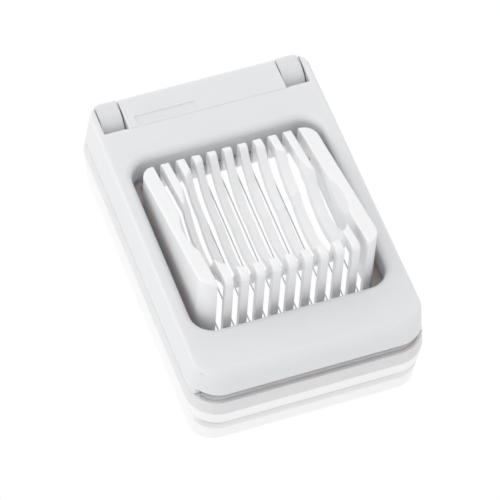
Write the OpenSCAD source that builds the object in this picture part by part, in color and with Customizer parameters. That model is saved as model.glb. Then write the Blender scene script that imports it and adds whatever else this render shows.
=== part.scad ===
// Egg slicer: a slotted egg cradle in a low base, and a hinged lid frame that carries ten wires.
// Millimetres. X runs across the width, Y from the front to the hinges at the back, Z up.
// The origin is at the middle of the underside. The lid is drawn closed.

/* [Outer body] */
// Width of each side bar beside the window, from the foot's outer face
side_bar = 7.7; // [7:0.1:12]
// Length of the base at its foot
body_l = 124.4; // [123:0.5:150]
// Height of the closed lid's flat top above the table
lid_top = 19.8; // [19:0.2:24]
// How far each outer wall leans inwards between the foot and the lid's top
wall_lean = 2; // [1:0.1:2.5]
// Plan radius of the two front corners at the foot
front_corner_r = 11.5; // [9:0.5:16]
// Plan radius of the two back corners at the foot
back_corner_r = 7.5; // [6:0.5:9]

/* [Base] */
// Height of the base's rim
rim_h = 5.8; // [5.4:0.1:6.4]
// Thickness of the base's outer wall
base_wall = 2; // [1.6:0.1:2.6]
// Thickness of the deck that closes the top of the rim
deck_t = 2; // [1.4:0.1:2.6]
// Flat ledge in front of the grip groove
grip_ledge = 1.3; // [1:0.1:2]
// Width of the grip groove round the front of the deck
grip_w = 1; // [0.6:0.1:1.4]
// Depth of the grip groove
grip_d = 0.7; // [0.4:0.1:1]
// Flat ledge between the grip groove and the stop wall
grip_step = 1.4; // [1:0.1:2]
// Length along Y that the grip groove and the stop wall reach back from the foot's front edge
grip_l = 6.2; // [5:0.1:6.6]
// Height of the stop wall behind the finger groove
stop_wall_h = 3; // [2:0.1:3.4]
// Thickness of the stop wall
stop_wall_t = 1.2; // [0.8:0.1:1.6]

/* [Egg cradle] */
// Width of the cradle
cradle_w = 63.6; // [62.5:0.1:65]
// Y of the cradle's front face
cradle_front = -36.1; // [-37:0.1:-35]
// Y of the cradle's back face
cradle_back = 29.2; // [28.5:0.1:30.5]
// Plan radius of the cradle's corners
cradle_corner_r = 6.5; // [4:0.5:9]
// Thickness of the cradle's upright walls
cradle_wall = 2.2; // [1.6:0.1:2.4]
// Height of the cradle's top where its slope meets the back face
cradle_back_h = 20.2; // [19:0.1:22]
// Rise of the cradle's top towards the front, in degrees
cradle_slope = 15.2; // [12:0.2:17]
// Radius along the cradle's front top edge
crest_r = 2; // [1:0.1:2.4]
// Radius along the cradle's back top edge
tail_r = 2.4; // [1:0.1:3]
// Solid depth left under the cradle's sloping top
land_depth = 5.5; // [4:0.1:8]
// Height of the bowl's lowest point
bowl_floor = 9.8; // [9.6:0.1:11]
// Y of the middle of the bowl's wide front part
wide_y = -7.4; // [-8:0.1:-6]
// Radius of the wide part's round side
wide_round = 25.4; // [24:0.2:25.6]
// Radius of the wide part's flat spot
wide_flat = 3.5; // [2:0.5:3.5]
// How much higher the narrow back part of the bowl lies
narrow_step = 0.2; // [0.1:0.1:0.4]
// Y of the middle of the bowl's narrow back part
narrow_y = 7.4; // [6:0.1:8]
// Radius of the narrow part's round side
narrow_round = 23.2; // [21:0.2:24]
// Radius of the narrow part's flat spot
narrow_flat = 0.5; // [0.5:0.5:2]
// Y of the middle of the long trough that ends the bowl at the front and back
trough_y = 0.3; // [-0.5:0.1:1]
// Radius of the trough's two round ends
trough_round = 27.5; // [26:0.1:28]
// Half length of the trough's flat middle
trough_flat = 3.6; // [2:0.1:4]
// How far the trough's own floor lies below the bowl's
trough_drop = 0.4; // [0.2:0.1:0.6]
// Thickness of the bowl's shell
bowl_shell = 2.4; // [1.8:0.1:2.8]
// Width of each slot between the ribs
slot_w = 2.7; // [2.2:0.1:3.2]
// How far each slot runs on past the cradle's front and back faces
slot_run = 0.2; // [0.1:0.1:0.6]
// Height of the tie bar behind the ribs' back ends above the deck
tie_h = 1.6; // [1:0.1:2]
// Thickness of the tie bar
tie_t = 2; // [1.4:0.1:2.6]
// Angle above level of the undercut that leads from the back ribs' inner side out under the deck
undercut_angle = 55.5; // [50:0.5:60]

/* [Slicing wires] */
// Number of wires
wire_count = 10; // [6:1:10]
// Distance from wire to wire
wire_pitch = 5.6; // [5.2:0.1:5.7]
// Diameter of a wire
wire_d = 0.5; // [0.3:0.05:0.8]
// Height of the closed wires above the table
wire_z = 9.15; // [9:0.05:9.3]
// Diameter of the crimped stop on each wire end
stop_d = 1.8; // [1.4:0.1:2.4]
// Length of the crimped stop
stop_l = 2.5; // [1.5:0.1:4]
// Wire left standing past each stop
wire_tail = 0.6; // [0.2:0.1:1.5]
// Gap all round a wire inside its stop
crimp_gap = 0.01; // [0.01:0.005:0.02]
// Gap all round a wire in its rail hole
rail_hole_gap = 0.1; // [0.05:0.05:0.2]
// Thickness of the steel rail behind each row of stops
rail_t = 1.6; // [1.2:0.1:2.4]
// Height of the rail
rail_h = 5.6; // [5:0.1:6.5]
// How far the rail reaches below the wires
rail_drop = 2; // [1.6:0.1:2.4]
// Steel left between the outermost wire and each end of the rail
rail_end = 4.6; // [4:0.1:5.5]
// Diameter of the pegs that hold the rail
peg_d = 2; // [1.4:0.1:2.4]
// Distance of each peg outside the outermost wire
peg_step = 2.4; // [2.2:0.1:3]
// Peg height above the wires
peg_rise = 1.6; // [1.4:0.1:2.2]
// Gap all round a peg in its rail hole
peg_gap = 0.02; // [0.01:0.01:0.05]
// How far each peg stands out behind the rail
peg_head = 0.8; // [0.4:0.1:1.5]

/* [Lid] */
// Gap between the base's rim and the closed lid
lid_gap = 0.3; // [0.3:0.05:0.5]
// Thickness of the lid's skirt
lid_wall = 2; // [1.6:0.1:2.4]
// Thickness of the lid's top plate
lid_plate = 2.2; // [1.8:0.1:2.8]
// Radius along the lid's top edges
lid_edge_r = 1.3; // [0.6:0.1:1.8]
// Radius along the front brow of the lid
brow_r = 4.5; // [2.5:0.1:5.5]
// Gap between the window and each side of the cradle
window_side_gap = 3; // [2:0.1:4]
// Gap between the window and the cradle's front face
window_front_gap = 4.6; // [4:0.1:5.4]
// Gap between the window and the cradle's back face
window_back_gap = 4; // [3.7:0.1:5]
// Plan radius of the window's corners
window_corner_r = 8; // [6:0.5:10]
// Radius of the rounded lip round the window
window_lip_r = 2.7; // [1.5:0.1:3]
// Thickness of the wall that hangs round the window
window_wall = 1.8; // [1.4:0.1:2.4]
// Height of the underside of the window's side walls
window_side_z = 10; // [9.5:0.1:12]
// Height of the underside of the window's front and back walls
window_end_z = 7; // [6.6:0.1:7.2]
// Gap beside a wire in the window wall's notches
notch_gap = 0.3; // [0.2:0.05:0.5]
// Height of the lid's lip over the finger groove
lip_z = 10.1; // [9.6:0.1:11]
// Length of the finger groove along the sides, from the foot's front edge
lip_l = 7.1; // [5:0.1:9]
// Radius of the finger groove's inner end
lip_end_r = 1.8; // [1:0.1:2]
// Length of the plain sunk panel on the tongue
panel_l = 22.2; // [16:0.2:24]
// Width of the plain sunk panel
panel_w = 3.9; // [2.5:0.1:4.5]
// Depth of the plain sunk panel
panel_t = 0.4; // [0.2:0.1:0.8]
// X of the plain sunk panel's middle
panel_x = -14.5; // [-15:0.5:0]
// Space between the panel and the crease across the lid
panel_gap = 0.6; // [0.4:0.1:1.5]
// Depth of the crease across the lid in line with the hinge cutouts
crease_t = 0.2; // [0.1:0.05:0.4]
// Width of the crease
crease_w = 0.5; // [0.3:0.1:0.8]

/* [Hinges] */
// Distance from each hinge lug's outer side to the foot's outer face
arm_w = 5; // [4.5:0.1:6]
// Width of a hinge lug
lug_w = 8; // [7:0.1:8.4]
// Gap beside a lug in its cutout
lug_side_gap = 0.5; // [0.3:0.05:0.8]
// Radius of the lug's round front
lug_r = 7.7; // [7:0.1:7.8]
// Height of the lug below the lid's top
lug_drop = 0.3; // [0.2:0.1:0.6]
// Distance of the hinge axis from the back edge of the lid's top
hinge_back = 4; // [3.6:0.1:4.4]
// Length of each hinge cutout from the back edge of the lid's top
cutout_l = 13.3; // [13:0.1:15]
// Diameter of a hinge pin
pin_d = 3; // [2:0.1:3.6]
// Gap all round a pin in its lug
pin_gap = 0.05; // [0.02:0.01:0.1]
// Gap all round a pin where the lid grips it
pin_grip_gap = 0.01; // [0.01:0.005:0.02]
// How deep a pin reaches into the lid's outer arm
pin_arm_grip = 2.2; // [1.5:0.1:2.4]
// Thickness of the lid's cheek on the inner side of a lug
cheek_t = 3.5; // [2.5:0.1:4.5]
// How far a pin stands out past the cheek
pin_head = 0.4; // [0.2:0.1:1]
// Thickness of the wall across the front of each cutout
cutout_wall = 1.6; // [1.2:0.1:2]
// Height of the underside of the lid's back wall and cheeks
back_wall_z = 9.4; // [9.3:0.1:10]
// Radius of the arm's lower back corner, centred on the hinge axis
arm_r = 5.3; // [4.6:0.1:5.4]

/* [Hidden] */
$fn = 64;
// Reach of a cutter past the face it opens
cut = 1;
// Far enough to clear the whole part
far = 200;
lean = wall_lean / lid_top;
lean_k = sqrt(1 + lean * lean);
lid_bottom = rim_h + lid_gap;
window_w = cradle_w + 2 * window_side_gap;
window_front = cradle_front - window_front_gap;
window_back = cradle_back + window_back_gap;
body_w = window_w + 2 * side_bar;
lug_x = body_w / 2 - arm_w - lug_w / 2;
back_top = body_l / 2 - wall_lean;
window_y = (window_front + window_back) / 2;
window_l = window_back - window_front;
cradle_y = (cradle_front + cradle_back) / 2;
cradle_l = cradle_back - cradle_front;
slope_t = tan(cradle_slope);
slope_k = sqrt(1 + slope_t * slope_t);
row_w = (wire_count - 1) * wire_pitch;
rail_l = row_w + 2 * rail_end;
rail_z = wire_z - rail_drop;
wire_front = window_front - window_wall - rail_t - stop_l - wire_tail;
wire_back = window_back + window_wall + rail_t + stop_l + wire_tail;
hinge_y = back_top - hinge_back;
lug_top = lid_top - lug_drop;
hinge_z = lug_top - lug_r;
cutout_w = lug_w + 2 * lug_side_gap;
cutout_front = back_top - cutout_l;
cheek_in = lug_x - cutout_w / 2 - cheek_t;
arm_in = lug_x + cutout_w / 2;
stop_inset = grip_ledge + grip_w + grip_step;
deck_under = rim_h - deck_t;
// How far outside the lid's own side edge the brow has died out
brow_clear = 0.4;
// Outward step of the block whose rounded edge makes the lid's brow
brow_step = brow_r - lid_edge_r + brow_clear;

// Half of an upright section: from a centre line out to the leaning wall, with a rounded top edge.
module wall_section(reach, z0, z1, r) {
    zc = z1 - r;
    xc = reach - lean * zc - r * lean_k;
    polygon([[0, z0], [reach - lean * z0, z0], [xc + r / lean_k, zc + r * lean / lean_k],
        [xc, z1], [0, z1]]);
    if (r > 0)
        translate([xc, zc]) circle(r = r);
}

// One rounded corner of the leaning block, turned about its own centre.
module block_corner(x, y, r_foot, z0, z1, r) {
    translate([x, y, 0])
        rotate_extrude()
            intersection() {
                wall_section(r_foot, z0, z1, r);
                translate([0, z0 - cut]) square([far, z1 - z0 + 2 * cut]);
            }
}

// The outer shape, moved in by inset, between two heights, with rounded corners and leaning walls.
module leaning_block(inset, z0, z1, r) {
    hx = body_w / 2 - inset;
    hy = body_l / 2 - inset;
    rf = front_corner_r - inset;
    rb = back_corner_r - inset;
    // side walls
    for (s = [0, 1])
        mirror([s, 0, 0])
            translate([0, hy - rb, 0])
                rotate([90, 0, 0])
                    linear_extrude(height = 2 * hy - rb - rf) wall_section(hx, z0, z1, r);
    // front wall
    mirror([0, 1, 0])
        translate([-(hx - rf), 0, 0])
            rotate([90, 0, 90])
                linear_extrude(height = 2 * (hx - rf)) wall_section(hy, z0, z1, r);
    // back wall
    translate([-(hx - rb), 0, 0])
        rotate([90, 0, 90])
            linear_extrude(height = 2 * (hx - rb)) wall_section(hy, z0, z1, r);
    for (s = [-1, 1]) {
        block_corner(s * (hx - rf), -(hy - rf), rf, z0, z1, r);
        block_corner(s * (hx - rb), hy - rb, rb, z0, z1, r);
    }
}

// Flat rectangle with round corners.
module round_rect(w, l, r) {
    square([w - 2 * r, l], center = true);
    square([w, l - 2 * r], center = true);
    for (x = [-1, 1], y = [-1, 1])
        translate([x * (w / 2 - r), y * (l / 2 - r)]) circle(r = r);
}

// Bar of any section in Y and Z, centred on X.
module x_bar(l) {
    translate([-l / 2, 0, 0])
        rotate([90, 0, 90])
            linear_extrude(height = l) children();
}

// ---- base ----

// Half of a bowl section: a flat spot, a round side and an upright wall above it.
module bowl_section(z0, flat, round, extra) {
    translate([flat, z0 + round]) circle(r = round + extra);
    translate([0, z0 - extra]) square([flat, round + extra]);
    translate([0, z0 + round]) square([flat + round + extra, far]);
}

// One round part of the bowl, turned about an upright axis.
module bowl_part(y, z0, flat, round, extra) {
    translate([0, y, 0])
        rotate_extrude()
            intersection() {
                bowl_section(z0, flat, round, extra);
                square([far, far]);
            }
}

// The bowl's two round parts together; extra makes the outside of their shell.
module bowl_parts(extra) {
    bowl_part(wide_y, bowl_floor, wide_flat, wide_round, extra);
    bowl_part(narrow_y, bowl_floor + narrow_step, narrow_flat, narrow_round, extra);
}

// Long trough that ends the bowl at the front and back.
module trough(extra) {
    x_bar(far)
        for (s = [0, 1])
            translate([trough_y, 0])
                mirror([s, 0])
                    bowl_section(bowl_floor - trough_drop, trough_flat, trough_round, extra);
}

// Height of the cradle's sloping top at a place along Y.
function slope_z(y) = cradle_back_h + (cradle_back - y) * slope_t;

// Side view of the cradle: upright ends, sloping top, rounded front and back top edges.
module cradle_side() {
    fy = cradle_front + crest_r;
    fz = slope_z(fy) - crest_r * slope_k;
    by = cradle_back - tail_r;
    bz = slope_z(by) - tail_r * slope_k;
    polygon([[cradle_front, deck_under], [cradle_front, fz],
        [fy + crest_r * slope_t / slope_k, fz + crest_r / slope_k],
        [by + tail_r * slope_t / slope_k, bz + tail_r / slope_k],
        [cradle_back, bz], [cradle_back, deck_under]]);
    translate([fy, fz]) circle(r = crest_r);
    translate([by, bz]) circle(r = tail_r);
}

// Outside of the cradle: round-cornered box with a sloping top.
module cradle_block() {
    intersection() {
        translate([0, cradle_y, 0])
            linear_extrude(height = far) round_rect(cradle_w, cradle_l, cradle_corner_r);
        x_bar(cradle_w + 2 * cut) cradle_side();
    }
}

// Space under the cradle's top before the bowl's shell is left in it.
module cradle_core() {
    intersection() {
        cradle_hollow(-cut);
        x_bar(cradle_w)
            polygon([[cradle_front, -cut], [cradle_back, -cut],
                [cradle_back, slope_z(cradle_back) - land_depth],
                [cradle_front, slope_z(cradle_front) - land_depth]]);
    }
}

// Cradle before its slots are cut. The bowl is where its round parts and the trough overlap, so
// the block less the one is joined to the block less the other, and its shell is left likewise.
module cradle() {
    difference() {
        union() {
            difference() {
                cradle_block();
                bowl_parts(0);
            }
            difference() {
                cradle_block();
                trough(0);
            }
        }
        difference() {
            cradle_core();
            bowl_parts(bowl_shell);
        }
        difference() {
            cradle_core();
            trough(bowl_shell);
        }
    }
}

// Space inside the cradle's walls, open underneath.
module cradle_hollow(z0) {
    translate([0, cradle_y, z0])
        linear_extrude(height = far)
            round_rect(cradle_w - 2 * cradle_wall, cradle_l - 2 * cradle_wall,
                cradle_corner_r - cradle_wall);
}

// Slots between the ribs, open from the top down through the deck.
module rib_slots() {
    for (i = [0 : wire_count - 1])
        translate([i * wire_pitch - row_w / 2 - slot_w / 2, cradle_front - slot_run, -cut])
            cube([slot_w, cradle_l + 2 * slot_run, far]);
}

// Bar across the back of the cradle, under the wires, that ties the ribs' ends to the deck.
module tie_bar() {
    translate([-cradle_w / 2 + tie_t, cradle_back - cradle_wall / 2, deck_under])
        cube([cradle_w - 2 * tie_t, cradle_wall / 2 + tie_t, deck_t + tie_h]);
}

// Undercut below the ribs' back ends, leaning out under the deck.
module back_undercut() {
    y0 = cradle_back - cradle_wall;
    lean_y = cradle_wall + (rim_h + cut) / tan(undercut_angle);
    x_bar(row_w + slot_w + cradle_wall)
        polygon([[y0 - cut, -cut], [y0 + lean_y, -cut],
            [y0, rim_h + cradle_wall * tan(undercut_angle)],
            [y0 - cut, rim_h + cradle_wall * tan(undercut_angle)]]);
}

// Strip between two heights that follows the front of the rim, inset from its outer face.
module front_strip(inset, t, z0, z1) {
    intersection() {
        difference() {
            leaning_block(inset, z0, z1, 0);
            leaning_block(inset + t, z0 - cut, z1 + cut, 0);
        }
        translate([-body_w / 2, -body_l / 2, 0]) cube([body_w, grip_l, far]);
    }
}

// Hinge lug: flat top and back, round front centred on the hinge axis, bored for the pin.
module lug() {
    difference() {
        intersection() {
            translate([lug_x, 0, 0])
                x_bar(lug_w) {
                    translate([hinge_y, hinge_z]) circle(r = lug_r);
                    translate([hinge_y - lug_r, rim_h]) square([body_l, hinge_z - rim_h]);
                    translate([hinge_y, rim_h]) square([body_l, lug_top - rim_h]);
                }
            leaning_block(0, rim_h, lug_top, 0);
        }
        translate([lug_x - lug_w, hinge_y, hinge_z])
            rotate([0, 90, 0]) cylinder(r = pin_d / 2 + pin_gap, h = 2 * lug_w);
    }
}

// Base moulding: rim, deck, slotted cradle, grip groove, stop wall and two hinge lugs.
module base() {
    color([0.93, 0.94, 0.95]) {
        difference() {
            union() {
                difference() {
                    leaning_block(0, 0, rim_h, 0);
                    leaning_block(base_wall, -cut, deck_under, 0);
                    intersection() {
                        cradle_hollow(-cut);
                        cube([far, far, 2 * rim_h + 2 * cut], center = true);
                    }
                }
                cradle();
                tie_bar();
                front_strip(stop_inset, stop_wall_t, deck_under, rim_h + stop_wall_h);
            }
            front_strip(grip_ledge, grip_w, rim_h - grip_d, rim_h + cut);
            rib_slots();
            back_undercut();
        }
        for (s = [0, 1])
            mirror([s, 0, 0]) lug();
    }
}

// ---- lid ----

// Cutter for the window: straight well with a rounded lip round its top edge.
module window_cutter() {
    hx = window_w / 2;
    hy = window_l / 2;
    translate([0, window_y, 0]) {
        linear_extrude(height = far) round_rect(window_w, window_l, window_corner_r);
        for (s = [0, 1])
            mirror([s, 0, 0])
                translate([0, hy - window_corner_r, 0])
                    rotate([90, 0, 0])
                        linear_extrude(height = 2 * (hy - window_corner_r)) lip_section(hx);
        for (s = [0, 1])
            mirror([0, s, 0])
                x_bar(2 * (hx - window_corner_r)) lip_section(hy);
        for (x = [-1, 1], y = [-1, 1])
            translate([x * (hx - window_corner_r), y * (hy - window_corner_r), 0])
                rotate_extrude() lip_section(window_corner_r);
    }
}

// Section of the space above the rounded lip, out from a centre line.
module lip_section(reach) {
    lip = window_lip_r;
    difference() {
        translate([0, lid_top - lip]) square([reach + lip, lip + cut]);
        translate([reach + lip, lid_top - lip]) circle(r = lip);
    }
}

// Cutter for the finger groove under the lid's front lip.
module groove_cutter() {
    y1 = -body_l / 2 + lip_l;
    x_bar(body_w + 2 * cut) {
        translate([-body_l, 0]) square([body_l + y1, lip_z - lip_end_r]);
        translate([-body_l, 0]) square([body_l + y1 - lip_end_r, lip_z]);
        translate([y1 - lip_end_r, lip_z - lip_end_r]) circle(r = lip_end_r);
    }
}

// Solid arms outside the hinge cutouts, with their lower back corners round the hinge axis.
module lid_arms() {
    intersection() {
        leaning_block(0, lid_bottom, lid_top - lid_edge_r, 0);
        x_bar(body_w) {
            translate([cutout_front - cutout_wall, lid_bottom])
                square([hinge_y - cutout_front + cutout_wall, lid_top - lid_bottom]);
            translate([hinge_y, hinge_z]) square([body_l, lid_top - hinge_z]);
            translate([hinge_y, hinge_z]) circle(r = arm_r);
        }
        for (s = [0, 1])
            mirror([s, 0, 0])
                translate([arm_in, 0, 0]) cube([body_w, body_l, far]);
    }
}

// Shell of the lid before its window is cut: top plate, skirt, brow and finger groove.
module lid_shell() {
    difference() {
        intersection() {
            leaning_block(0, lid_bottom, lid_top, lid_edge_r);
            translate([0, brow_step, 0]) leaning_block(-brow_step, lid_bottom, lid_top, brow_r);
        }
        leaning_block(lid_wall, lid_bottom - cut, lid_top - lid_plate, 0);
        groove_cutter();
        // skirt cleared at the back, where it swings past the base
        translate([-body_w / 2, cutout_front - cutout_wall, 0])
            cube([body_w, body_l, back_wall_z]);
    }
}

// Walls hung under the top plate: round the window, across the cutouts and beside the lugs.
module lid_walls() {
    intersection() {
        leaning_block(0, 0, lid_top - lid_edge_r, 0);
        union() {
            translate([0, window_y, window_side_z])
                linear_extrude(height = lid_top - window_side_z - lid_edge_r)
                    round_rect(window_w + 2 * window_wall, window_l + 2 * window_wall,
                        window_corner_r + window_wall);
            for (y = [window_front - window_wall, window_back])
                translate([-rail_l / 2 - peg_head, y, window_end_z])
                    cube([rail_l + 2 * peg_head, window_wall, lid_top - window_end_z - lid_edge_r]);
            translate([0, 0, back_wall_z])
                linear_extrude(height = lid_top - back_wall_z - lid_edge_r)
                    for (s = [-1, 1]) {
                        translate([s * (cheek_in + body_w / 2) / 2, cutout_front - cutout_wall / 2])
                            square([body_w / 2 - cheek_in, cutout_wall], center = true);
                        translate([s * (cheek_in + cheek_t / 2), (cutout_front + body_l / 2) / 2])
                            square([cheek_t, body_l / 2 - cutout_front], center = true);
                    }
            for (s = [-1, 1], x = [-1, 1])
                translate([x * (row_w / 2 + peg_step), s > 0 ? window_back : window_front,
                    wire_z + peg_rise])
                    rotate([-90 * s, 0, 0])
                        cylinder(d = peg_d, h = window_wall + rail_t + peg_head);
        }
    }
}

// Lid frame: everything that the hand lifts, in one moulding.
module lid() {
    color([0.9, 0.91, 0.93])
        difference() {
            union() {
                lid_shell();
                lid_arms();
                lid_walls();
            }
            window_cutter();
            // notches that the wires pass through under the window's front and back walls
            for (i = [0 : wire_count - 1])
                translate([i * wire_pitch - row_w / 2 - wire_d / 2 - notch_gap, window_front - window_wall
                    - cut, 0])
                    cube([wire_d + 2 * notch_gap, window_l + 2 * window_wall + 2 * cut,
                        wire_z + wire_d / 2 + notch_gap]);
            // hinge cutouts, open to the back
            for (s = [-1, 1])
                translate([s * lug_x - cutout_w / 2, cutout_front, 0]) cube([cutout_w, body_l, far]);
            // holes that grip the hinge pins
            for (s = [0, 1])
                mirror([s, 0, 0])
                    translate([cheek_in - cut, hinge_y, hinge_z])
                        rotate([0, 90, 0])
                            cylinder(r = pin_d / 2 + pin_grip_gap,
                                h = arm_in + pin_arm_grip - cheek_in + cut);
            // plain sunk panel and crease
            translate([panel_x - panel_l / 2, cutout_front + panel_gap, lid_top - panel_t])
                cube([panel_l, panel_w, far]);
            translate([-(lug_x - cutout_w / 2) - cut, cutout_front - crease_w, lid_top - crease_t])
                cube([2 * (lug_x - cutout_w / 2 + cut), crease_w, far]);
        }
}

// ---- wires and what holds them ----

// Steel rail with a hole for each wire and one for each peg; y is its face against the window wall.
module wire_rail(y, s) {
    color([0.72, 0.73, 0.75])
        translate([0, y, 0])
            mirror([0, s > 0 ? 0 : 1, 0])
                difference() {
                    translate([-rail_l / 2, 0, rail_z]) cube([rail_l, rail_t, rail_h]);
                    for (i = [0 : wire_count - 1])
                        translate([i * wire_pitch - row_w / 2, -cut, wire_z])
                            rotate([-90, 0, 0])
                                cylinder(r = wire_d / 2 + rail_hole_gap, h = rail_t + 2 * cut);
                    for (x = [-1, 1])
                        translate([x * (row_w / 2 + peg_step), -cut, wire_z + peg_rise])
                            rotate([-90, 0, 0])
                                cylinder(r = peg_d / 2 + peg_gap, h = rail_t + 2 * cut);
                }
}

// Row of crimped stops, one on each wire end.
module wire_stops(y) {
    color([0.66, 0.67, 0.7])
        for (i = [0 : wire_count - 1])
            translate([i * wire_pitch - row_w / 2, y, wire_z])
                rotate([-90, 0, 0])
                    difference() {
                        cylinder(d = stop_d, h = stop_l);
                        translate([0, 0, -cut])
                            cylinder(r = wire_d / 2 + crimp_gap, h = stop_l + 2 * cut);
                    }
}

// One taut wire, counted from the left.
module wire(n) {
    if (n <= wire_count)
        color([0.78, 0.79, 0.81])
            translate([(n - 1) * wire_pitch - row_w / 2, wire_front, wire_z])
                rotate([-90, 0, 0]) cylinder(d = wire_d, h = wire_back - wire_front);
}

// Steel hinge pin on the right; the left one is its mirror image.
module hinge_pin() {
    color([0.7, 0.71, 0.74])
        translate([cheek_in - pin_head, hinge_y, hinge_z])
            rotate([0, 90, 0]) cylinder(d = pin_d, h = arm_in + pin_arm_grip - cheek_in + pin_head);
}

module front_wire_rail() { wire_rail(window_front - window_wall, -1); }
module back_wire_rail() { wire_rail(window_back + window_wall, 1); }
module front_wire_stops() { wire_stops(window_front - window_wall - rail_t - stop_l); }
module back_wire_stops() { wire_stops(window_back + window_wall + rail_t); }
module left_hinge_pin() { mirror([1, 0, 0]) hinge_pin(); }
module right_hinge_pin() { hinge_pin(); }
module slicing_wire_01() { wire(1); }
module slicing_wire_02() { wire(2); }
module slicing_wire_03() { wire(3); }
module slicing_wire_04() { wire(4); }
module slicing_wire_05() { wire(5); }
module slicing_wire_06() { wire(6); }
module slicing_wire_07() { wire(7); }
module slicing_wire_08() { wire(8); }
module slicing_wire_09() { wire(9); }
module slicing_wire_10() { wire(10); }

base();
lid();
front_wire_rail();
back_wire_rail();
front_wire_stops();
back_wire_stops();
left_hinge_pin();
right_hinge_pin();
slicing_wire_01();
slicing_wire_02();
slicing_wire_03();
slicing_wire_04();
slicing_wire_05();
slicing_wire_06();
slicing_wire_07();
slicing_wire_08();
slicing_wire_09();
slicing_wire_10();
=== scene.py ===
import math

import bmesh
import bpy
from mathutils import Matrix, Vector


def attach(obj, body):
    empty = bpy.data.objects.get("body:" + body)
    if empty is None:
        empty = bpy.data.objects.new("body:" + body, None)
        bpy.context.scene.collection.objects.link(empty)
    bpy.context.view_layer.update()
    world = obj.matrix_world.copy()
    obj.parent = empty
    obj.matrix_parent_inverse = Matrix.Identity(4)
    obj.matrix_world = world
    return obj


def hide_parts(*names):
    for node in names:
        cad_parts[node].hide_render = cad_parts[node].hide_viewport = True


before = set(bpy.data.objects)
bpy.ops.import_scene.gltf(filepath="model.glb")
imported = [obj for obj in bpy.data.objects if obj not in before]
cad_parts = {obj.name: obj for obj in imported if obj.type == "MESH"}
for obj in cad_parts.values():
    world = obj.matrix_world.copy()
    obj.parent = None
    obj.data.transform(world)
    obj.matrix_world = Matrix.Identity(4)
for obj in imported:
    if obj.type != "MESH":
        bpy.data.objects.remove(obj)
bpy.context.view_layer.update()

# ---------------------------------------------------------------------------
# Base: one injection moulding in white ABS. The rim, deck, slotted cradle,
# stop wall and hinge lugs are all in it, and its edges are broken by the
# tool's small radii. Its surface is satin, with a faint mould texture.
# ---------------------------------------------------------------------------
mm = 0.001
rib_pitch = 5.6
slot_half = 1.35
cradle_half = 31.8
cradle_ends = (-36.1, 29.2)
corner_radius = 6.5
cradle_wall = 2.2
tail_height = 20.2
slope = math.tan(math.radians(15.2))
crest_radius = 2.0
tail_radius = 2.4
bowl_rim_softness = 1.1
land_depth = 5.5
shell = 2.4
deck_under = 3.8
undercut_half = 27.65
undercut_top = 9.0
undercut_slope = math.tan(math.radians(55.5))
soft_radius = 0.38
edge_radius = 0.22
cut_clearance = 0.03


def slope_height(y):
    """Height of the cradle's sloping top."""
    return tail_height + (cradle_ends[1] - y) * slope


def side_height(y):
    """Height of the cradle's top with its round front and back edges."""
    tilt = math.sqrt(1 + slope * slope)
    crest_y = cradle_ends[0] + crest_radius
    crest_z = slope_height(crest_y) - crest_radius * tilt
    if y < crest_y + crest_radius * slope / tilt:
        return crest_z + math.sqrt(max(crest_radius**2 - (y - crest_y) ** 2, 0))
    tail_y = cradle_ends[1] - tail_radius
    tail_z = slope_height(tail_y) - tail_radius * tilt
    if y > tail_y + tail_radius * slope / tilt:
        return tail_z + math.sqrt(max(tail_radius**2 - (y - tail_y) ** 2, 0))
    return slope_height(y)


# Each hollow of the bowl has its middle along Y, floor, flat half width and side radius.
wide_hollow = (-7.4, 9.8, 3.5, 25.4)
narrow_hollow = (7.4, 10.0, 0.5, 23.2)
trough_hollow = (0.3, 9.4, 3.6, 27.5)
outside_hollow = 999.0


def round_floor(reach, floor, flat, radius, extra):
    """Height of a round-sided hollow at a distance from its middle."""
    out = max(reach - flat, 0)
    if out >= radius + extra:
        return outside_hollow
    return floor + radius - math.sqrt((radius + extra) ** 2 - out * out)


def bowl_height(x, y, extra):
    """Height of the bowl's surface, or of the underside of its shell."""
    wide = round_floor(math.hypot(x, y - wide_hollow[0]), *wide_hollow[1:], extra)
    narrow = round_floor(math.hypot(x, y - narrow_hollow[0]), *narrow_hollow[1:], extra)
    trough = round_floor(abs(y - trough_hollow[0]), *trough_hollow[1:], extra)
    return max(min(wide, narrow), trough)


def soft_lower(a, b, width):
    """The lower of two heights, with the corner between them rounded."""
    near = max(width - abs(a - b), 0) / width
    return min(a, b) - near * near * width / 4


def edge_drop(inside):
    """How far a rounded edge lies below the face at a distance inside it."""
    left = max(soft_radius - inside, 0)
    return soft_radius - math.sqrt(max(soft_radius**2 - left * left, 0))


def hollow_ends(x):
    """Where the hollow under the cradle starts and stops along a line at x."""
    inner = corner_radius - cradle_wall
    out = max(abs(x) - (cradle_half - corner_radius), 0)
    if out >= inner:
        return None
    reach = math.sqrt(inner * inner - out * out)
    return cradle_ends[0] + corner_radius - reach, cradle_ends[1] - corner_radius + reach


def under_height(x, y):
    """Height of the underside: the shell and land over the hollow, the walls' foot beside it."""
    ends = hollow_ends(x)
    if ends and ends[0] < y < ends[1]:
        return min(slope_height(y) - land_depth, bowl_height(x, y, shell))
    if abs(x) < undercut_half and y > 0:
        inner_face = cradle_ends[1] - cradle_wall
        return max(deck_under, undercut_top - (y - inner_face) * undercut_slope)
    return deck_under


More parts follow.
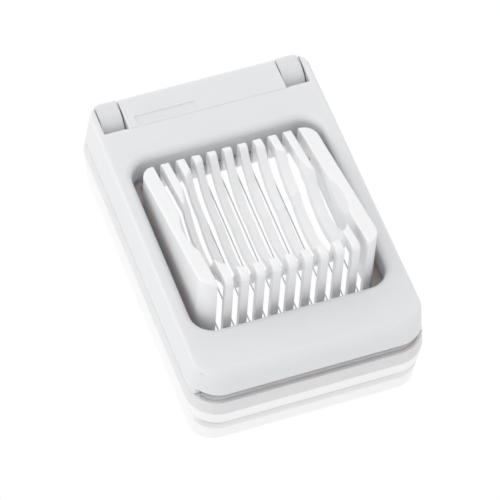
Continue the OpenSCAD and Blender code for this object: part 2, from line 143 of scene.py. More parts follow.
# Rows and columns stand close together at the rounded edges and at the bowl's rim.
near_edge = (0, 0.02, 0.07, 0.15, 0.26, 0.4)
near_end = (0, 0.02, 0.08, 0.2, 0.38, 0.62, 0.95, 1.35, 1.7)
near_rim = (0, 0.012, 0.05, 0.11, 0.2, 0.32, 0.48, 0.7, 1.0, 1.4, 1.9, 2.5)
outside_rim = (0.15, 0.35, 0.6)
rim_search_start = 4.0
rim_search_margin = 0.5
rim_halvings = 40
rim_margin = 0.62
step_gap = 0.01
rib_columns = 5
front_rows = 8
bowl_rows = 56
back_rows = 24
outer_rib_rows = 240
end_block_rows = 150
end_block_columns = 12
corner_columns = 12


def wall_steps(x, front, back):
    """Places along Y across the front wall and across the back wall at x."""
    ends = hollow_ends(x) or (front + cradle_wall, back - cradle_wall)
    ahead = [front + d for d in near_end] + [ends[0] - step_gap, ends[0] + step_gap]
    behind = [ends[1] - step_gap, ends[1] + step_gap] + [back - d for d in reversed(near_end)]
    return ahead, behind


def bowl_rims(x):
    """Where the bowl breaks through the sloping top, in front and behind."""
    found = []
    for start, end in (
        (-rim_search_start, cradle_ends[0] + rim_search_margin),
        (rim_search_start, cradle_ends[1] - rim_search_margin),
    ):
        inside, outside = start, end
        for _ in range(rim_halvings):
            middle = (inside + outside) / 2
            if bowl_height(x, middle, 0) < side_height(middle):
                inside = middle
            else:
                outside = middle
        found.append(inside)
    return found


def spread(low, high, count):
    return [low + (high - low) * (i + 1) / (count + 1) for i in range(count)]


def solid_between(shape, columns):
    """Closed solid from columns of (x, y, top, bottom), all of one length."""
    tops, lows = [], []
    for column in columns:
        tops.append([shape.verts.new((x * mm, y * mm, t * mm)) for x, y, t, b in column])
        lows.append([shape.verts.new((x * mm, y * mm, b * mm)) for x, y, t, b in column])
    last_column, last_row = len(columns) - 1, len(columns[0]) - 1
    for i in range(last_column):
        for j in range(last_row):
            shape.faces.new((tops[i][j], tops[i + 1][j], tops[i + 1][j + 1], tops[i][j + 1]))
            shape.faces.new((lows[i][j], lows[i][j + 1], lows[i + 1][j + 1], lows[i + 1][j]))
    for j in range(last_row):
        shape.faces.new((tops[0][j], tops[0][j + 1], lows[0][j + 1], lows[0][j]))
        shape.faces.new(
            (tops[-1][j + 1], tops[-1][j], lows[-1][j], lows[-1][j + 1])
        )
    for i in range(last_column):
        shape.faces.new((tops[i + 1][0], tops[i][0], lows[i][0], lows[i + 1][0]))
        shape.faces.new(
            (tops[i][-1], tops[i + 1][-1], lows[i + 1][-1], lows[i][-1])
        )


def rib(shape, centre):
    """One rib between two slots, with its stretch of the bowl."""
    half = rib_pitch / 2 - slot_half
    steps = [-half + d for d in near_edge]
    steps += spread(-half + near_edge[-1], half - near_edge[-1], rib_columns)
    steps += [half - d for d in reversed(near_edge)]
    columns = []
    for step in steps:
        x = centre + step
        drop = edge_drop(half - abs(step))
        front, back = cradle_ends[0] + drop, cradle_ends[1] - drop
        rim_front, rim_back = bowl_rims(x)
        ys, tail = wall_steps(x, front, back)
        if abs(centre) > 3.5 * rib_pitch:
            ys += spread(ys[-1], tail[0], outer_rib_rows)
        else:
            ys += spread(ys[-1], rim_front - rim_margin, front_rows)
            ys += [rim_front - d for d in reversed(outside_rim)]
            ys += [rim_front + d for d in near_rim]
            ys += spread(rim_front + near_rim[-1], rim_back - near_rim[-1], bowl_rows)
            ys += [rim_back - d for d in reversed(near_rim)]
            ys += [rim_back + d for d in outside_rim]
            ys += spread(rim_back + rim_margin, tail[0], back_rows)
        ys += tail
        column = []
        for y in ys:
            top = soft_lower(side_height(y), bowl_height(x, y, 0), bowl_rim_softness) - drop
            column.append((x, y, top, under_height(x, y)))
        columns.append(column)
    solid_between(shape, columns)


def end_block(shape, hand):
    """The wider block outside the last slot, with the plan's round corners."""
    inner_x = 4.5 * rib_pitch + slot_half
    turn_x = cradle_half - corner_radius
    wall_x = cradle_half - cradle_wall
    steps = [inner_x + d for d in near_edge]
    steps += spread(inner_x + near_edge[-1], wall_x - step_gap, end_block_columns)
    steps += [wall_x - step_gap, wall_x + step_gap]
    first = math.asin((wall_x + step_gap - turn_x) / corner_radius)
    turn = (math.pi / 2 - first) / (corner_columns - 1)
    steps += [
        turn_x + corner_radius * math.sin(first + turn * k) for k in range(1, corner_columns)
    ]
    columns = []
    for x in steps:
        out = min(max(x - turn_x, 0), corner_radius)
        cut = corner_radius - math.sqrt(max(corner_radius**2 - out * out, 0))
        drop = edge_drop(x - inner_x)
        front = cradle_ends[0] + cut + drop
        back = cradle_ends[1] - cut - drop
        ys, tail = wall_steps(x, front, back)
        ys += spread(ys[-1], tail[0], end_block_rows)
        ys += tail
        column = []
        for y in ys:
            ahead = max(cradle_ends[0] + corner_radius - y, y - cradle_ends[1] + corner_radius, 0)
            if ahead > 0:
                inside = corner_radius - math.hypot(out, ahead)
            else:
                inside = cradle_half - x
            fall = max(edge_drop(x - inner_x), edge_drop(max(inside, 0)))
            top = soft_lower(side_height(y), bowl_height(x, y, 0), bowl_rim_softness) - fall
            column.append((hand * x, y, top, under_height(x, y)))
        columns.append(column)
    solid_between(shape, columns)


def cradle_mesh():
    """Nine ribs and two end blocks."""
    shape = bmesh.new()
    for index in range(-4, 5):
        rib(shape, index * rib_pitch)
    for hand in (-1, 1):
        end_block(shape, hand)
    bmesh.ops.recalc_face_normals(shape, faces=shape.faces)
    mesh = bpy.data.meshes.new("cradle")
    shape.to_mesh(mesh)
    shape.free()
    return mesh


def round_block(width, front, back, radius, low, high):
    """Upright block with round corners, in millimetres."""
    shape = bmesh.new()
    ring = []
    for cx, cy, start in (
        (width - radius, back - radius, 0),
        (-width + radius, back - radius, 90),
        (-width + radius, front + radius, 180),
        (width - radius, front + radius, 270),
    ):
        for k in range(13):
            angle = math.radians(start + 7.5 * k)
            ring.append((cx + radius * math.cos(angle), cy + radius * math.sin(angle)))
    lower = [shape.verts.new((x * mm, y * mm, low * mm)) for x, y in ring]
    upper = [shape.verts.new((x * mm, y * mm, high * mm)) for x, y in ring]
    shape.faces.new(list(reversed(lower)))
    shape.faces.new(upper)
    for k in range(len(ring)):
        n = (k + 1) % len(ring)
        shape.faces.new((lower[k], lower[n], upper[n], upper[k]))
    mesh = bpy.data.meshes.new("block")
    shape.to_mesh(mesh)
    shape.free()
    return mesh


weld_distance = 0.02
flat_angle = math.radians(0.6)
sharp_angle = math.radians(38)
shading_angle = math.radians(34)
corner_share = 0.42


def welded_copy(node, name):
    """The node's solid as one welded mesh in a new object."""
    shape = bmesh.new()
    shape.from_mesh(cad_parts[node].data)
    bmesh.ops.remove_doubles(shape, verts=shape.verts, dist=weld_distance * mm)
    mesh = bpy.data.meshes.new(name)
    shape.to_mesh(mesh)
    shape.free()
    piece = bpy.data.objects.new(name, mesh)
    bpy.context.scene.collection.objects.link(piece)
    return piece


def settle(piece):
    """Replaces a piece's mesh by the result of its modifiers."""
    graph = bpy.context.evaluated_depsgraph_get()
    mesh = bpy.data.meshes.new_from_object(piece.evaluated_get(graph))
    piece.modifiers.clear()
    piece.data = mesh


def room_for(edge, radius):
    """Share of the radius that fits beside an edge without running over the next corner."""
    share = 1.0
    along = (edge.verts[1].co - edge.verts[0].co).normalized()
    for face in edge.link_faces:
        for corner in edge.verts:
            for other in corner.link_edges:
                if other is edge or face not in other.link_faces:
                    continue
                across = (other.verts[1].co - other.verts[0].co).cross(along).length
                if across > 0.5 * other.calc_length():
                    share = min(share, corner_share * across / (radius * mm))
    return share


def soften(piece, radius, spared=None):
    """Joins flat faces and rounds every sharp edge a little, outside the spared block."""
    shape = bmesh.new()
    shape.from_mesh(piece.data)
    bmesh.ops.dissolve_limit(
        shape, angle_limit=flat_angle, verts=shape.verts, edges=shape.edges
    )
    weight = shape.edges.layers.float.new("bevel_weight_edge")
    for edge in shape.edges:
        if edge.calc_face_angle(0) < sharp_angle:
            continue
        if spared and all(spared(v.co / mm) for v in edge.verts):
            continue
        edge[weight] = room_for(edge, radius)
    shape.to_mesh(piece.data)
    shape.free()
    rounding = piece.modifiers.new("soft_edges", "BEVEL")
    rounding.limit_method = "WEIGHT"
    rounding.width = radius * mm
    rounding.segments = 2
    rounding.use_clamp_overlap = False
    rounding.loop_slide = False
    settle(piece)


def shade(piece):
    """Smooth shading that keeps large flat faces flat."""
    for face in piece.data.polygons:
        face.use_smooth = True
    piece.data.set_sharp_from_angle(angle=shading_angle)
    flat_first = piece.modifiers.new("flat_faces_first", "WEIGHTED_NORMAL")
    flat_first.mode = "FACE_AREA_WITH_ANGLE"
    flat_first.weight = 60
    flat_first.keep_sharp = True


cut_front = cradle_ends[0] - 0.1
cut_back = cradle_ends[1] + 0.25
cut_side = cradle_half + 0.1
cut_top = 8


def beside_cut(p):
    """Along the foot of the cradle, where the deck was cut away for the finer cradle."""
    return abs(p.x) < cut_side and cut_front < p.y < cut_back and p.z < cut_top


base_shape = welded_copy("base", "base_moulding")
cutter = bpy.data.objects.new(
    "cradle_space",
    round_block(
        cradle_half + cut_clearance,
        cradle_ends[0] - cut_clearance,
        cradle_ends[1] + cut_clearance,
        corner_radius,
        low=-1,
        high=60,
    ),
)
bpy.context.scene.collection.objects.link(cutter)
taken = base_shape.modifiers.new("cradle_out", "BOOLEAN")
taken.operation = "DIFFERENCE"
taken.solver = "EXACT"
taken.object = cutter
settle(base_shape)
bpy.data.objects.remove(cutter)
soften(base_shape, edge_radius, beside_cut)
whole = bmesh.new()
whole.from_mesh(base_shape.data)
whole.from_mesh(cradle_mesh())
whole.to_mesh(base_shape.data)
whole.free()
base_shape.data.name = "base_moulding"
shade(base_shape)


def plastic_skin():
    """Shared effect: the uneven gloss, flow shade and fine texture of a moulded face, and a box of
    painted light inside which the face is tinted lighter.
    """
    group = bpy.data.node_groups.new("plastic_skin", "ShaderNodeTree")
    for label, kind, value in (
        ("Grain Size", "NodeSocketFloat", 1500.0),
        ("Grain Height", "NodeSocketFloat", 0.5),
        ("Flow Size", "NodeSocketFloat", 40.0),
        ("Light Tint", "NodeSocketColor", (1, 1, 1, 1)),
        ("Deep Tint", "NodeSocketColor", (0.9, 0.9, 0.9, 1)),
        ("Painted Light Tint", "NodeSocketColor", (0.9, 0.9, 0.9, 1)),
        ("Painted Light Middle", "NodeSocketVector", (0, 0, 0)),
        ("Painted Light Half Size", "NodeSocketVector", (0.0001, 0.0001, 0.0001)),
        ("Smooth Roughness", "NodeSocketFloat", 0.25),
        ("Worn Roughness", "NodeSocketFloat", 0.4),
    ):
        socket = group.interface.new_socket(label, in_out="INPUT", socket_type=kind)
        socket.default_value = value
    group.interface.new_socket("Color", in_out="OUTPUT", socket_type="NodeSocketColor")
    group.interface.new_socket(
        "Roughness", in_out="OUTPUT", socket_type="NodeSocketFloat"
    )
    group.interface.new_socket("Height", in_out="OUTPUT", socket_type="NodeSocketFloat")
    nodes, links = group.nodes, group.links
    given = nodes.new("NodeGroupInput")
    made = nodes.new("NodeGroupOutput")
    place = nodes.new("ShaderNodeTexCoord")
    flow = nodes.new("ShaderNodeTexNoise")
    flow.inputs["Detail"].default_value = 5
    flow.inputs["Roughness"].default_value = 0.62
    links.new(place.outputs["Object"], flow.inputs["Vector"])
    links.new(given.outputs["Flow Size"], flow.inputs["Scale"])
    tint = nodes.new("ShaderNodeMix")
    tint.data_type = "RGBA"
    flow_range = nodes.new("ShaderNodeMapRange")
    flow_range.inputs["From Min"].default_value = 0.3
    flow_range.inputs["From Max"].default_value = 0.72
    links.new(flow.outputs["Fac"], flow_range.inputs["Value"])
    links.new(flow_range.outputs["Result"], tint.inputs["Factor"])
    links.new(given.outputs["Light Tint"], tint.inputs["A"])
    links.new(given.outputs["Deep Tint"], tint.inputs["B"])
    # Painted light: a box in object space, inside which the colour turns to a lighter tint.
    shift = nodes.new("ShaderNodeVectorMath")
    shift.operation = "SUBTRACT"
    links.new(place.outputs["Object"], shift.inputs[0])
    links.new(given.outputs["Painted Light Middle"], shift.inputs[1])
    ratio = nodes.new("ShaderNodeVectorMath")
    ratio.operation = "DIVIDE"
    links.new(shift.outputs["Vector"], ratio.inputs[0])
    links.new(given.outputs["Painted Light Half Size"], ratio.inputs[1])
    folded = nodes.new("ShaderNodeVectorMath")
    folded.operation = "ABSOLUTE"
    links.new(ratio.outputs["Vector"], folded.inputs[0])
    parts = nodes.new("ShaderNodeSeparateXYZ")
    links.new(folded.outputs["Vector"], parts.inputs["Vector"])
    wider = nodes.new("ShaderNodeMath")
    wider.operation = "MAXIMUM"
    links.new(parts.outputs["X"], wider.inputs[0])
    links.new(parts.outputs["Y"], wider.inputs[1])
    widest = nodes.new("ShaderNodeMath")
    widest.operation = "MAXIMUM"
    links.new(wider.outputs["Value"], widest.inputs[0])
    links.new(parts.outputs["Z"], widest.inputs[1])
    inside = nodes.new("ShaderNodeMath")
    inside.operation = "LESS_THAN"
    inside.inputs[1].default_value = 1
    links.new(widest.outputs["Value"], inside.inputs[0])
    painted_light_mix = nodes.new("ShaderNodeMix")
    painted_light_mix.data_type = "RGBA"
    links.new(inside.outputs["Value"], painted_light_mix.inputs["Factor"])
    links.new(tint.outputs["Result"], painted_light_mix.inputs["A"])
    links.new(given.outputs["Painted Light Tint"], painted_light_mix.inputs["B"])
    links.new(painted_light_mix.outputs["Result"], made.inputs["Color"])
    grain = nodes.new("ShaderNodeTexNoise")
    grain.inputs["Detail"].default_value = 3
    links.new(place.outputs["Object"], grain.inputs["Vector"])
    links.new(given.outputs["Grain Size"], grain.inputs["Scale"])
    wear = nodes.new("ShaderNodeTexNoise")
    wear.inputs["Scale"].default_value = 70
    wear.inputs["Detail"].default_value = 2
    links.new(place.outputs["Object"], wear.inputs["Vector"])
    gloss = nodes.new("ShaderNodeMapRange")
    gloss.inputs["From Min"].default_value = 0.35
    gloss.inputs["From Max"].default_value = 0.7
    links.new(wear.outputs["Fac"], gloss.inputs["Value"])
    links.new(given.outputs["Smooth Roughness"], gloss.inputs["To Min"])
    links.new(given.outputs["Worn Roughness"], gloss.inputs["To Max"])
    links.new(gloss.outputs["Result"], made.inputs["Roughness"])
    relief = nodes.new("ShaderNodeMath")
    relief.operation = "MULTIPLY"
    links.new(grain.outputs["Fac"], relief.inputs[0])
    links.new(given.outputs["Grain Height"], relief.inputs[1])
    links.new(relief.outputs["Value"], made.inputs["Height"])
    return group


skin = plastic_skin()


def moulded_plastic(name, light, deep, smooth, worn, grain_height):
    """Satin white plastic: a Principled shader fed by the shared skin."""
    material = bpy.data.materials.new(name)
    material.use_nodes = True
    nodes, links = material.node_tree.nodes, material.node_tree.links
    shader = nodes["Principled BSDF"]
    effect = nodes.new("ShaderNodeGroup")
    effect.node_tree = skin
    effect.name = "plastic_skin"
    effect.inputs["Light Tint"].default_value = (*light, 1)
    effect.inputs["Deep Tint"].default_value = (*deep, 1)
    effect.inputs["Smooth Roughness"].default_value = smooth
    effect.inputs["Worn Roughness"].default_value = worn
    effect.inputs["Grain Height"].default_value = grain_height
    relief = nodes.new("ShaderNodeBump")
    relief.inputs["Strength"].default_value = 0.02
    relief.inputs["Distance"].default_value = 0.00001
    links.new(effect.outputs["Color"], shader.inputs["Base Color"])
    links.new(effect.outputs["Roughness"], shader.inputs["Roughness"])
    links.new(effect.outputs["Height"], relief.inputs["Height"])
    links.new(relief.outputs["Normal"], shader.inputs["Normal"])
    shader.inputs["IOR"].default_value = 1.53
    shader.inputs["Subsurface Weight"].default_value = 0.35
    shader.inputs["Subsurface Radius"].default_value = (1.0, 0.72, 0.62)
    shader.inputs["Subsurface Scale"].default_value = 0.004
    return material


base_plastic = moulded_plastic(
    "base_plastic",
    (0.715, 0.718, 0.73),
    (0.695, 0.698, 0.71),
    0.29,
    0.36,
    0.5,
)
# Painted light: the cradle's part of the base is tinted lighter than the rest of the same plastic.
cradle_painted_light = base_plastic.node_tree.nodes["plastic_skin"].inputs
cradle_painted_light["Painted Light Tint"].default_value = (0.82, 0.823, 0.835, 1)
cradle_painted_light["Painted Light Middle"].default_value = (0, -3.45 * mm, 25.9 * mm)
cradle_painted_light["Painted Light Half Size"].default_value = (31.95 * mm, 32.8 * mm, 20 * mm)
base_shape.data.materials.clear()
base_shape.data.materials.append(base_plastic)
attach(base_shape, "base_body")
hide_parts("base")

# ---------------------------------------------------------------------------
# Lid: a second moulding in white ABS, a frame round the window that the hand
# lifts. It swings on the two pins and carries the wires, rails and stops.
# ---------------------------------------------------------------------------
lid_plastic = moulded_plastic(
    "lid_plastic",
    (0.75, 0.755, 0.768),
    (0.735, 0.74, 0.753),
    0.285,
    0.34,
    0.45,
)
window_wall_top = 10.3
window_wall_half = 36.5
window_wall_ends = (-43, 36)
arm_foot_top = 6.3
arm_foot_front = 54
cheek_face_x = 38
cheek_back_start = 57.5


def too_tight(p):
    """The notched foot of the window's wall, the arms' feet and the cheeks' back edges."""
    in_wall_length = window_wall_ends[0] < p.y < window_wall_ends[1]
    wall_foot = p.z < window_wall_top and abs(p.x) < window_wall_half and in_wall_length
    arm_foot = p.z < arm_foot_top and p.y > arm_foot_front
    cheek_back = p.y > cheek_back_start and abs(abs(p.x) - cheek_face_x) < 0.1
    return wall_foot or arm_foot or cheek_back


lid_shape = welded_copy("lid", "lid_moulding")
soften(lid_shape, edge_radius, too_tight)
lid_shape.data.name = "lid_moulding"
shade(lid_shape)
lid_shape.data.materials.clear()
lid_shape.data.materials.append(lid_plastic)
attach(lid_shape, "lid_frame")
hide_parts("lid")

# ---------------------------------------------------------------------------
# Hinge pins: two short rods of ground stainless steel, pressed into the lid
# and turning in the base's lugs. Fine marks run round them.
# ---------------------------------------------------------------------------


def steel_lines():
    """Shared effect: the tone, gloss and relief of drawing, rolling or grinding lines."""
    group = bpy.data.node_groups.new("steel_lines", "ShaderNodeTree")
    for label, kind, value in (
        ("Stretch", "NodeSocketVector", (1000, 1000, 1000)),
        ("Bright Tint", "NodeSocketColor", (0.65, 0.66, 0.68, 1)),
        ("Dull Tint", "NodeSocketColor", (0.5, 0.51, 0.53, 1)),
        ("Smooth Roughness", "NodeSocketFloat", 0.2),
        ("Rough Roughness", "NodeSocketFloat", 0.4),
    ):
        socket = group.interface.new_socket(label, in_out="INPUT", socket_type=kind)
        socket.default_value = value
    for label, kind in (
        ("Color", "NodeSocketColor"),
        ("Roughness", "NodeSocketFloat"),
        ("Height", "NodeSocketFloat"),
    ):
        group.interface.new_socket(label, in_out="OUTPUT", socket_type=kind)
    nodes, links = group.nodes, group.links
    given = nodes.new("NodeGroupInput")
    made = nodes.new("NodeGroupOutput")
    place = nodes.new("ShaderNodeTexCoord")
    along = nodes.new("ShaderNodeMapping")
    links.new(place.outputs["Object"], along.inputs["Vector"])
    links.new(given.outputs["Stretch"], along.inputs["Scale"])
    lines = nodes.new("ShaderNodeTexNoise")
    lines.inputs["Scale"].default_value = 1
    lines.inputs["Detail"].default_value = 4
    links.new(along.outputs["Vector"], lines.inputs["Vector"])
    tone = nodes.new("ShaderNodeMix")
    tone.data_type = "RGBA"
    links.new(lines.outputs["Fac"], tone.inputs["Factor"])
    links.new(given.outputs["Bright Tint"], tone.inputs["A"])
    links.new(given.outputs["Dull Tint"], tone.inputs["B"])
    links.new(tone.outputs["Result"], made.inputs["Color"])
    polish = nodes.new("ShaderNodeMapRange")
    links.new(lines.outputs["Fac"], polish.inputs["Value"])
    links.new(given.outputs["Smooth Roughness"], polish.inputs["To Min"])
    links.new(given.outputs["Rough Roughness"], polish.inputs["To Max"])
    links.new(polish.outputs["Result"], made.inputs["Roughness"])
    links.new(lines.outputs["Fac"], made.inputs["Height"])
    return group


line_effect = steel_lines()


def steel(name, colour, roughness, stretch):
    """Stainless steel whose drawing or grinding lines follow the given stretch."""
    material = bpy.data.materials.new(name)
    material.use_nodes = True
    nodes, links = material.node_tree.nodes, material.node_tree.links
    shader = nodes["Principled BSDF"]
    shader.inputs["Metallic"].default_value = 1.0
    effect = nodes.new("ShaderNodeGroup")
    effect.node_tree = line_effect
    effect.inputs["Stretch"].default_value = stretch
    effect.inputs["Bright Tint"].default_value = (*colour, 1)
    effect.inputs["Dull Tint"].default_value = (*[c * 0.78 for c in colour], 1)
    effect.inputs["Smooth Roughness"].default_value = roughness * 0.7
    effect.inputs["Rough Roughness"].default_value = roughness * 1.5
    relief = nodes.new("ShaderNodeBump")
    relief.inputs["Strength"].default_value = 0.3
    relief.inputs["Distance"].default_value = 0.00001
    links.new(effect.outputs["Color"], shader.inputs["Base Color"])
    links.new(effect.outputs["Roughness"], shader.inputs["Roughness"])
    links.new(effect.outputs["Height"], relief.inputs["Height"])
    links.new(relief.outputs["Normal"], shader.inputs["Normal"])
    return material


def dress(node, metal):
    """Gives a piece of the frame its steel."""
    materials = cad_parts[node].data.materials
    materials.clear()
    materials.append(metal)


pin_steel = steel("pin_steel", (0.62, 0.63, 0.65), 0.17, (9000, 600, 600))
for node in ("left_hinge_pin", "right_hinge_pin"):
    dress(node, pin_steel)

# ---------------------------------------------------------------------------
# Wire rails: two strips of rolled stainless steel on the lid's pegs. The
# rolling lines run along them.
# ---------------------------------------------------------------------------
rail_steel = steel("rail_steel", (0.6, 0.61, 0.63), 0.42, (150, 5000, 5000))
for node in ("front_wire_rail", "back_wire_rail"):
    dress(node, rail_steel)

# ---------------------------------------------------------------------------
# Slicing wires: ten drawn stainless wires, one for each slot of the cradle. They
# are pulled taut from rail to rail, and the drawing lines run along them.
# ---------------------------------------------------------------------------
wire_steel = steel("wire_steel", (0.66, 0.67, 0.69), 0.18, (6000, 300, 6000))
wire_count = 10
for number in range(1, wire_count + 1):
    dress(f"slicing_wire_{number:02d}", wire_steel)

# ---------------------------------------------------------------------------
# Wire stops: a short stainless tube crimped on every wire end, behind the
# rails. The jaws leave two flats on each.
# ---------------------------------------------------------------------------
stop_steel = steel("stop_steel", (0.5, 0.51, 0.53), 0.42, (3000, 700, 3000))
stop_radius = 0.9
stop_length = 2.5
stop_squeeze = 0.22
stop_sharp_angle = math.radians(50)


def stop_row_tree():
    """Row of crimped tubes along X, each lying along Y and squeezed at its middle."""
    tree = bpy.data.node_groups.new("crimped_stop_row", "GeometryNodeTree")
    for label, kind, value in (
        ("Count", "NodeSocketInt", wire_count),
        ("Pitch", "NodeSocketFloat", rib_pitch * mm),
        ("Radius", "NodeSocketFloat", stop_radius * mm),
        ("Length", "NodeSocketFloat", stop_length * mm),
        ("Squeeze", "NodeSocketFloat", stop_squeeze),
        ("Metal", "NodeSocketMaterial", None),
    ):
        socket = tree.interface.new_socket(label, in_out="INPUT", socket_type=kind)
        if value is not None:
            socket.default_value = value
    tree.interface.new_socket("Geometry", in_out="OUTPUT", socket_type="NodeSocketGeometry")
    nodes, links = tree.nodes, tree.links
    given = nodes.new("NodeGroupInput")
    made = nodes.new("NodeGroupOutput")

    def math_node(operation, first, second):
        node = nodes.new("ShaderNodeMath")
        node.operation = operation
        for order, value in enumerate((first, second)):
            if isinstance(value, (int, float)):
                node.inputs[order].default_value = value
            else:
                links.new(value, node.inputs[order])
        return node.outputs["Value"]

    gaps = math_node("SUBTRACT", given.outputs["Count"], 1)
    width = math_node("MULTIPLY", gaps, given.outputs["Pitch"])
    start = nodes.new("ShaderNodeCombineXYZ")
    links.new(math_node("MULTIPLY", width, -0.5), start.inputs["X"])
    step = nodes.new("ShaderNodeCombineXYZ")
    links.new(given.outputs["Pitch"], step.inputs["X"])
    row = nodes.new("GeometryNodeMeshLine")
    links.new(given.outputs["Count"], row.inputs["Count"])
    links.new(start.outputs["Vector"], row.inputs["Start Location"])
    links.new(step.outputs["Vector"], row.inputs["Offset"])

    tube = nodes.new("GeometryNodeMeshCylinder")
    tube.inputs["Vertices"].default_value = 28
    tube.inputs["Side Segments"].default_value = 14
    links.new(given.outputs["Radius"], tube.inputs["Radius"])
    links.new(given.outputs["Length"], tube.inputs["Depth"])
    lay = nodes.new("GeometryNodeTransform")
    lay.inputs["Rotation"].default_value = (math.radians(90), 0, 0)
    links.new(tube.outputs["Mesh"], lay.inputs["Geometry"])

    place = nodes.new("GeometryNodeInputPosition")
    parts = nodes.new("ShaderNodeSeparateXYZ")
    links.new(place.outputs["Position"], parts.inputs["Vector"])
    reach = math_node("DIVIDE", math_node("ABSOLUTE", parts.outputs["Y"], 0), given.outputs["Length"])
    bite = nodes.new("ShaderNodeMapRange")
    bite.interpolation_type = "SMOOTHSTEP"
    bite.inputs["From Min"].default_value = 0.16
    bite.inputs["From Max"].default_value = 0.42
    bite.inputs["To Max"].default_value = 0
    links.new(reach, bite.inputs["Value"])
    links.new(given.outputs["Squeeze"], bite.inputs["To Min"])
    flatter = math_node("SUBTRACT", 1, bite.outputs["Result"])
    pressed = nodes.new("ShaderNodeCombineXYZ")
    links.new(parts.outputs["X"], pressed.inputs["X"])
    links.new(parts.outputs["Y"], pressed.inputs["Y"])
    links.new(math_node("MULTIPLY", parts.outputs["Z"], flatter), pressed.inputs["Z"])
    press = nodes.new("GeometryNodeSetPosition")
    links.new(lay.outputs["Geometry"], press.inputs["Geometry"])
    links.new(pressed.outputs["Vector"], press.inputs["Position"])

    copies = nodes.new("GeometryNodeInstanceOnPoints")
    links.new(row.outputs["Mesh"], copies.inputs["Points"])
    links.new(press.outputs["Geometry"], copies.inputs["Instance"])
    real = nodes.new("GeometryNodeRealizeInstances")
    links.new(copies.outputs["Instances"], real.inputs["Geometry"])
    coat = nodes.new("GeometryNodeSetMaterial")
    links.new(real.outputs["Geometry"], coat.inputs["Geometry"])
    links.new(given.outputs["Metal"], coat.inputs["Material"])
    links.new(coat.outputs["Geometry"], made.inputs["Geometry"])
    return tree


stop_rows = stop_row_tree()
for node in ("front_wire_stops", "back_wire_stops"):
    box = [Vector(corner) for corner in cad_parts[node].bound_box]
    middle = sum(box, Vector()) / len(box)
    row = bpy.data.objects.new(f"{node}_row", bpy.data.meshes.new(node))
    bpy.context.scene.collection.objects.link(row)
    build = row.modifiers.new("stops", "NODES")
    build.node_group = stop_rows
    for item in stop_rows.interface.items_tree:
        if item.in_out == "INPUT" and item.name == "Metal":
            build[item.identifier] = stop_steel
    settle(row)
    row.data.transform(Matrix.Translation(middle))
    row.data.name = node
    for face in row.data.polygons:
        face.use_smooth = True
    row.data.set_sharp_from_angle(angle=stop_sharp_angle)
    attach(row, "lid_frame")
    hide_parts(node)

# ---------------------------------------------------------------------------
# Room: a pale table with a faint mirror finish, outside the part's foot, in a
# white room that is brightest at the back left. Two large soft lamps stand at
# the left and in front.
# ---------------------------------------------------------------------------
table_size = 6
table_drop = 0.05
foot_half = (38, 56)
table_shine = 0.4
bpy.ops.mesh.primitive_plane_add(size=table_size, location=(0, 0, -table_drop * mm))
table = bpy.context.active_object
table.name = "table_top"
table_white = bpy.data.materials.new("table_white")
table_white.use_nodes = True
table_nodes = table_white.node_tree.nodes
table_links = table_white.node_tree.links
table_nodes.remove(table_nodes["Principled BSDF"])
glow = table_nodes.new("ShaderNodeEmission")
glow.inputs["Strength"].default_value = 0.99
mirror = table_nodes.new("ShaderNodeBsdfGlossy")
mirror.inputs["Color"].default_value = (1, 1, 1, 1)
mirror.inputs["Roughness"].default_value = 0.02
both = table_nodes.new("ShaderNodeMixShader")
spot = table_nodes.new("ShaderNodeTexCoord")
size_of_foot = table_nodes.new("ShaderNodeVectorMath")
size_of_foot.operation = "DIVIDE"
size_of_foot.inputs[1].default_value = (foot_half[0] * mm, foot_half[1] * mm, 1)
sides = table_nodes.new("ShaderNodeVectorMath")
sides.operation = "ABSOLUTE"
apart = table_nodes.new("ShaderNodeSeparateXYZ")
further = table_nodes.new("ShaderNodeMath")
further.operation = "MAXIMUM"
shine = table_nodes.new("ShaderNodeMapRange")
shine.inputs["From Min"].default_value = 0.95
shine.inputs["From Max"].default_value = 1.05
shine.inputs["To Max"].default_value = table_shine
table_links.new(spot.outputs["Object"], size_of_foot.inputs[0])
table_links.new(size_of_foot.outputs["Vector"], sides.inputs[0])
table_links.new(sides.outputs["Vector"], apart.inputs["Vector"])
table_links.new(apart.outputs["X"], further.inputs[0])
table_links.new(apart.outputs["Y"], further.inputs[1])
table_links.new(further.outputs["Value"], shine.inputs["Value"])
table_links.new(shine.outputs["Result"], both.inputs["Fac"])
table_links.new(glow.outputs["Emission"], both.inputs[1])
table_links.new(mirror.outputs["BSDF"], both.inputs[2])
table_links.new(both.outputs["Shader"], table_nodes["Material Output"].inputs["Surface"])
table.data.materials.append(table_white)

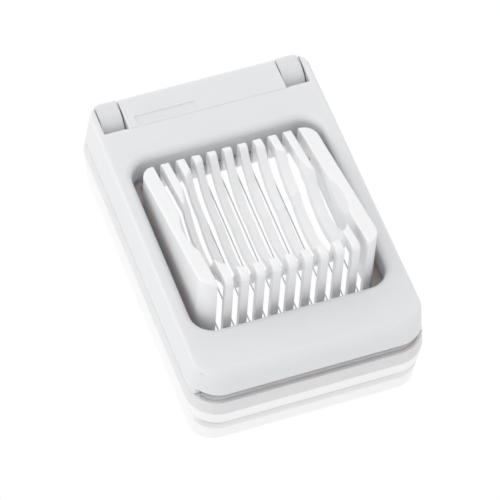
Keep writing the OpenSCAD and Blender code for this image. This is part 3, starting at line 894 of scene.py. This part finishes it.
room = bpy.data.worlds.new("room")
room.use_nodes = True
room_nodes, room_links = room.node_tree.nodes, room.node_tree.links
room_nodes["Background"].inputs["Color"].default_value = (1, 1, 1, 1)
way = room_nodes.new("ShaderNodeTexCoord")
to_window = room_nodes.new("ShaderNodeVectorMath")
to_window.operation = "DOT_PRODUCT"
to_window.inputs[1].default_value = Vector((-0.7, 0.62, 0.25)).normalized()
brightness = room_nodes.new("ShaderNodeMapRange")
brightness.inputs["From Min"].default_value = -1
brightness.inputs["To Min"].default_value = 0.7
brightness.inputs["To Max"].default_value = 1.2
room_links.new(way.outputs["Generated"], to_window.inputs[0])
room_links.new(to_window.outputs["Value"], brightness.inputs["Value"])
room_links.new(brightness.outputs["Result"], room_nodes["Background"].inputs["Strength"])
bpy.context.scene.world = room


def soft_lamp(name, place, aim, size, power):
    """A square soft lamp that faces a point."""
    data = bpy.data.lights.new(name, "AREA")
    data.size = size
    data.energy = power
    lamp = bpy.data.objects.new(name, data)
    lamp.location = place
    lamp.visible_glossy = False
    lamp.rotation_euler = (Vector(aim) - Vector(place)).to_track_quat("-Z", "Y").to_euler()
    bpy.context.scene.collection.objects.link(lamp)


soft_lamp("lamp_left", (-0.85, 0.25, 0.5), (0, 0, 0), 0.8, 1.1)
soft_lamp("lamp_front", (0.1, -0.95, 0.3), (0, 0, 0), 0.8, 1.05)

# ---------------------------------------------------------------------------
# Camera: a long lens above the front left of the object, looking down at the
# lid and tilted a little to the side.
# ---------------------------------------------------------------------------
look = bpy.data.cameras.new("camera")
look.sensor_width = 36
look.lens = 254.27
look.clip_start = 0.05
look.clip_end = 20
camera = bpy.data.objects.new("camera", look)
yaw = math.radians(23.426)
drop = math.radians(54.652)
roll = math.radians(4.278)
ahead = Vector(
    (math.sin(yaw) * math.cos(drop), math.cos(yaw) * math.cos(drop), -math.sin(drop))
)
level = Vector((math.cos(yaw), -math.sin(yaw), 0))
above = level.cross(ahead)
side = math.cos(roll) * level + math.sin(roll) * above
top = math.cos(roll) * above - math.sin(roll) * level
turn = Matrix((side, top, -ahead)).transposed().to_4x4()
camera_place = (-0.28118, -0.64773, 0.99260)
camera.matrix_world = Matrix.Translation(camera_place) @ turn
bpy.context.scene.collection.objects.link(camera)
bpy.context.scene.camera = camera
bpy.context.scene.view_settings.view_transform = "Standard"
